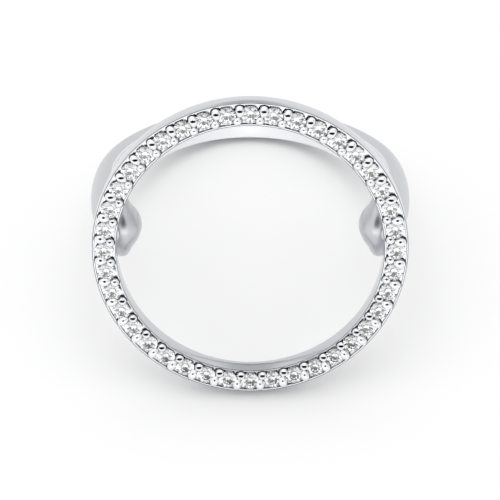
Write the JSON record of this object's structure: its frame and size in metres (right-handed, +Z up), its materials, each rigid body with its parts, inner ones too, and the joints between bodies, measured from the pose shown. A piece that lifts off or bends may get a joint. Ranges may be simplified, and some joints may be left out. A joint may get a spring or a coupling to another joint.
{
  "type": "adjustable open ring",
  "caption": "Plain C-shaped finger ring in polished white metal whose two rounded ends carry a large open circle set all round with round brilliant stones.",
  "frame": {"origin": "middle of the ring's footprint, on the surface that it lies on", "axes": "+Z up from the surface; +X to the right across the circle, seen from its front; -Y towards the front, where the circle's face looks as it leans back; the finger's axis lies in the YZ plane, 26.3 degrees from +Z"},
  "size_m": [0.0198, 0.023, 0.0175],
  "materials": {
    "silver": "sterling silver with a bright rhodium plating, polished to a mirror",
    "stone": "colourless cubic zirconia, round brilliant cut, polished facets"
  },
  "bodies": {
    "root": {"ring_body": "silver", "stone_01": "stone", "stone_02": "stone", "stone_03": "stone", "stone_04": "stone", "stone_05": "stone", "stone_06": "stone", "stone_07": "stone", "stone_08": "stone", "stone_09": "stone", "stone_10": "stone", "stone_11": "stone", "stone_12": "stone", "stone_13": "stone", "stone_14": "stone", "stone_15": "stone", "stone_16": "stone", "stone_17": "stone", "stone_18": "stone", "stone_19": "stone", "stone_20": "stone", "stone_21": "stone", "stone_22": "stone", "stone_23": "stone", "stone_24": "stone", "stone_25": "stone", "stone_26": "stone", "stone_27": "stone", "stone_28": "stone", "stone_29": "stone", "stone_30": "stone", "stone_31": "stone", "stone_32": "stone", "stone_33": "stone", "stone_34": "stone", "stone_35": "stone", "stone_36": "stone", "stone_37": "stone", "stone_38": "stone", "stone_39": "stone", "stone_40": "stone"}
  },
  "joints": []
}
